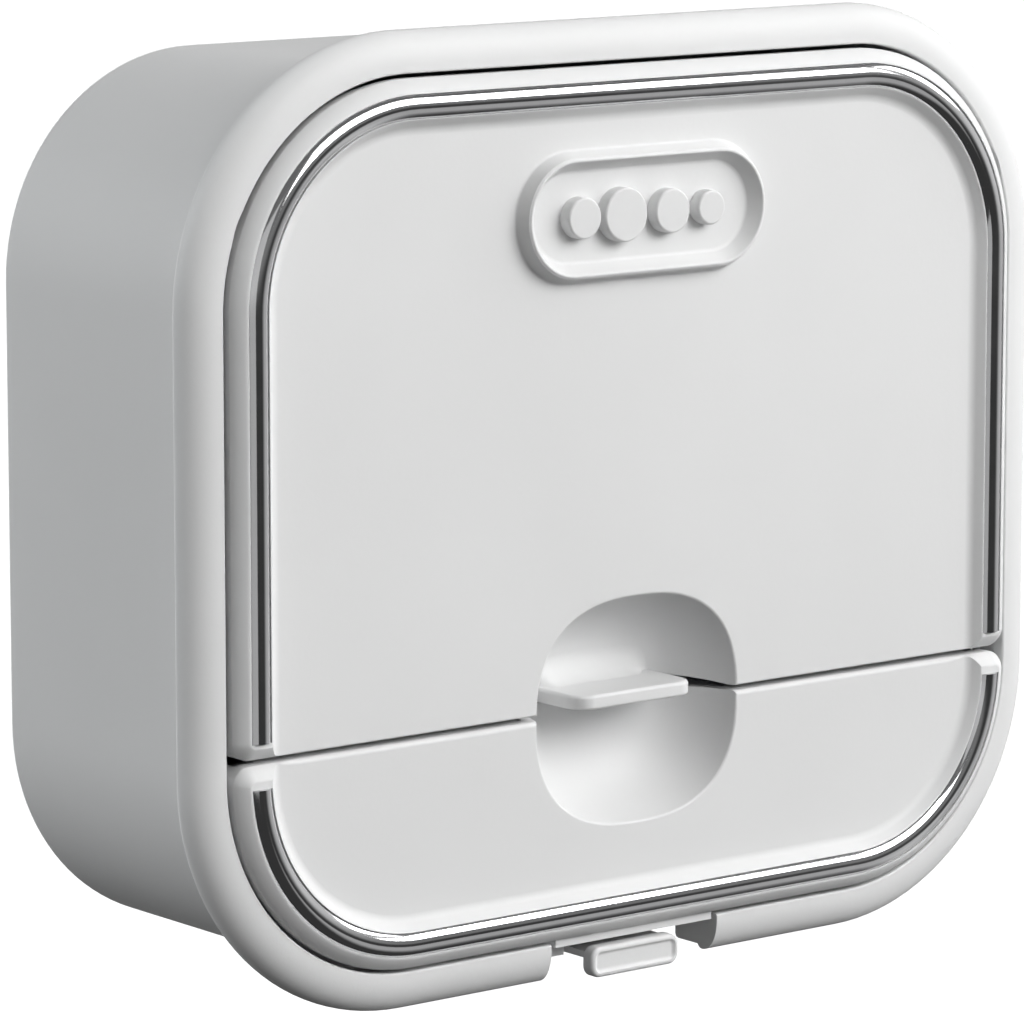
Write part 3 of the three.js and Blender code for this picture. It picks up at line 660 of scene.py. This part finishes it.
def wire(name, path, r, n=12):
    """Round wire along a path of (x, d, z) points."""
    pts = [Vector(p) for p in path]
    rings, side = [], None
    for i, p in enumerate(pts):
        t = (pts[min(i + 1, len(pts) - 1)] - pts[max(i - 1, 0)]).normalized()
        if side is None:
            side = t.cross(Vector((0, 0, 1))).normalized() if abs(t.z) < 0.9 else t.cross(Vector((1, 0, 0))).normalized()
        side = (side - t * side.dot(t)).normalized()
        other = t.cross(side)
        rings.append([tuple(p + side * (r * math.cos(a)) + other * (r * math.sin(a))) for a in np.linspace(0, 2 * math.pi, n + 1)[:-1]])
    return loft3(name, rings)


COIL_R, COIL_TURNS = 1.375, 10
coil = [(-2.52, 31.1, -56.12), (-2.52, 28.0, -57.44)]
for i in range(243):
    a = math.radians(293 - (23 + 360 * COIL_TURNS) * i / 242)
    coil.append((-2.52 + 5.04 * i / 242, 24.0 + COIL_R * math.cos(a), -57.75 + COIL_R * math.sin(a)))
coil += [(2.52, 20.5, -57.75 - COIL_R), (2.52, 17.2, -57.75 - COIL_R)]
finish_piece(wire("return_spring", coil, 0.17), "housing", ["catch_spring"], STEEL, 60)

wall_prof = [(0.25, 45.3), (0.07, 45.23), (0.0, 45.05), (0.0, 43.5)]
wall_prof += [(0.6 - 0.6 * math.cos(math.radians(a)), 43.5 - 0.6 * math.sin(math.radians(a))) for a in (18, 36, 54, 72, 90)]
wall = loft("hanger", [(round_rect(35.0 - i, 30.0 - i, 4.0 - i, 0.0), d) for i, d in wall_prof])
for s in (-1, 1):
    stud = loft("s", [([(s * 20.0 + rr * math.cos(t), 14.0 + rr * math.sin(t)) for t in np.linspace(0, 2 * math.pi, 41)[:-1]], d) for rr, d in ((2.6, 43.4), (2.6, 42.9), (2.1, 42.4), (2.0, 42.0), (2.0, 38.7), (3.9, 38.7), (4.0, 38.4), (4.0, 37.4), (3.7, 37.0), (3.2, 36.8))])
    join(wall, stud)
finish_piece(wall, "wall_plate", ["wall_plate"], WHITE_IN)
pad_prof = [(0.2, 46.6), (0.05, 46.52), (0.0, 46.3), (0.0, 45.9), (0.06, 45.68), (0.2, 45.6)]
pad = loft("sticker", [(round_rect(33.0 - i, 28.0 - i, 3.0 - i, 0.0), d) for i, d in pad_prof])
finish_piece(pad, "wall_plate", ["adhesive_pad"], SOFT)

# ---------------------------------------------------------------- stage, light, camera
scene = bpy.context.scene
scene.view_settings.view_transform = "Standard"

me = bpy.data.meshes.new("floor")
me.from_pydata([(-30, -30, -1.2), (30, -30, -1.2), (30, 30, -1.2), (-30, 30, -1.2)], [], [(0, 1, 2, 3)])
floor = bpy.data.objects.new("floor", me)
scene.collection.objects.link(floor)
fm, fnt, fb = principled("pale_floor")
fb.inputs["Base Color"].default_value = (0.92, 0.92, 0.92, 1)
fb.inputs["Roughness"].default_value = 0.9
fb.inputs["Emission Color"].default_value = (1, 1, 1, 1)
fb.inputs["Emission Strength"].default_value = 1.0
floor.data.materials.append(fm)
floor.visible_diffuse = False
floor.visible_glossy = False
# pale dome over the floor, only a background
dome_v = [(6 * math.cos(e) * math.cos(a), 6 * math.cos(e) * math.sin(a), 6 * math.sin(e) - 1.2) for e in np.radians(np.linspace(-3, 89.5, 12)) for a in np.linspace(0, 2 * math.pi, 33)[:-1]]
dome_f = [(32 * j + i, 32 * j + (i + 1) % 32, 32 * (j + 1) + (i + 1) % 32, 32 * (j + 1) + i) for j in range(11) for i in range(32)] + [tuple(range(32 * 11, 32 * 12))]
me = bpy.data.meshes.new("backdrop")
me.from_pydata([tuple(float(c) for c in v) for v in dome_v], [], dome_f)
backdrop = bpy.data.objects.new("backdrop", me)
scene.collection.objects.link(backdrop)
backdrop.data.materials.append(fm)
backdrop.visible_diffuse = False
backdrop.visible_glossy = False
backdrop.visible_transmission = False
backdrop.visible_shadow = False

# soft room light: a dim lower half and horizon, a pale ceiling, paler walls to the left and right, a pale card low at the front right
WORLD_LOW, WORLD_MID, WORLD_UP, WORLD_LEFT, WORLD_RIGHT = 0.04, 0.04, 0.15, 0.04, 0.45
WORLD_CARD = 0.36
world = bpy.data.worlds.new("studio")
scene.world = world
world.use_nodes = True
wt = world.node_tree
tc = wt.nodes.new("ShaderNodeTexCoord")
sep = wt.nodes.new("ShaderNodeSeparateXYZ")
wt.links.new(tc.outputs["Generated"], sep.inputs["Vector"])


def part_of_world(axis, steps):
    """Grey level along one direction: list of (position from -1 to 1, level)."""
    half = wt.nodes.new("ShaderNodeMapRange")
    half.inputs["From Min"].default_value = -1.0
    half.inputs["From Max"].default_value = 1.0
    wt.links.new(sep.outputs[axis], half.inputs["Value"])
    ramp = wt.nodes.new("ShaderNodeValToRGB")
    ramp.color_ramp.interpolation = "EASE"
    els = ramp.color_ramp.elements
    for i, (pos, v) in enumerate(steps):
        el = els[i] if i < 2 else els.new(0.5 + pos / 2)
        el.position, el.color = 0.5 + pos / 2, (v, v, v, 1)
    wt.links.new(half.outputs["Result"], ramp.inputs["Fac"])
    return ramp


level = part_of_world("Z", [(-0.42, WORLD_LOW), (-0.25, WORLD_MID), (-0.13, WORLD_MID), (0.04, 1.3 * WORLD_UP), (0.30, WORLD_UP)])
sides = part_of_world("X", [(-0.98, WORLD_LEFT), (-0.75, 0.0), (0.60, 0.0), (0.99, WORLD_RIGHT)])
card_z = part_of_world("Z", [(-0.80, 0.0), (-0.55, WORLD_CARD), (-0.33, WORLD_CARD), (-0.26, 0.0)])
card_x = part_of_world("X", [(0.30, 0.0), (0.48, 1.0), (0.76, 1.0), (0.90, 0.0)])


def combine(kind, a, b):
    node = wt.nodes.new("ShaderNodeVectorMath")
    node.operation = kind
    wt.links.new(a, node.inputs[0])
    wt.links.new(b, node.inputs[1])
    return node.outputs["Vector"]


card = combine("MULTIPLY", card_z.outputs["Color"], card_x.outputs["Color"])
total = combine("ADD", combine("ADD", level.outputs["Color"], sides.outputs["Color"]), card)
wt.links.new(total, wt.nodes["Background"].inputs["Color"])
wt.nodes["Background"].inputs["Strength"].default_value = 1.0


def area(name, loc, target, size, size_y, power):
    li = bpy.data.lights.new(name, "AREA")
    li.shape = "RECTANGLE"
    li.size, li.size_y = size, size_y
    li.energy = power
    ob = bpy.data.objects.new(name, li)
    scene.collection.objects.link(ob)
    ob.location = loc
    ob.visible_camera = False
    ob.rotation_euler = (Vector(target) - Vector(loc)).to_track_quat("-Z", "Y").to_euler()
    return ob


POWER_FRONT, POWER_TOP, POWER_LEFT, POWER_FILL = 8.1, 0.05, 5.7, 1.0
POWER_LOW_KEY, POWER_RIGHT, POWER_BACK = 4.2, 2.4, 6.0
area("front", (0.40, -0.82, 0.56), (0, -0.03, 0), 0.9, 0.6, POWER_FRONT)
area("top", (0.1, 0.1, 1.1), (0, -0.03, 0), 1.0, 0.8, POWER_TOP)
area("left", (-0.95, 0.42, 0.42), (0, -0.03, 0), 0.6, 0.6, POWER_LEFT).data.color = (0.96, 0.985, 1.0)
area("fill", (-0.62, -1.0, 0.10), (0, -0.03, 0), 0.9, 0.9, POWER_FILL)
area("low_key", (0.62, -0.88, 0.38), (0, -0.03, 0), 0.9, 0.4, POWER_LOW_KEY).visible_glossy = False
area("right", (0.95, -0.25, 0.50), (0, -0.03, 0), 0.5, 0.45, POWER_RIGHT)
area("back", (0.15, 1.1, -0.1), (0, 0, 0), 1.0, 0.7, POWER_BACK)

az, el = math.radians(-38.519), math.radians(9.164)
back = Vector((math.sin(az) * math.cos(el), -math.cos(az) * math.cos(el), math.sin(el)))
fw = -back
right = fw.cross(Vector((0, 0, 1))).normalized()
up = right.cross(fw)
f_px, u0, v0, dist = 5742.256, 636.788, 499.284, 718.681
t = Vector(((u0 - 512) / f_px * dist, (v0 - 506.5) / f_px * dist, dist))
centre = -(right * t.x + (-up) * t.y + fw * t.z)
loc = Vector((centre.x, centre.y - GAP_Y, centre.z)) * 0.001
cd = bpy.data.cameras.new("camera")
cd.sensor_fit = "HORIZONTAL"
cd.sensor_width = 36.0
cd.lens = f_px / 1024 * 36.0
cd.clip_start = 0.01
cam = bpy.data.objects.new("camera", cd)
scene.collection.objects.link(cam)
rot = Matrix((right, up, back)).transposed().to_4x4()
cam.matrix_world = Matrix.Translation(loc) @ rot
scene.camera = cam

bpy.context.view_layer.update()
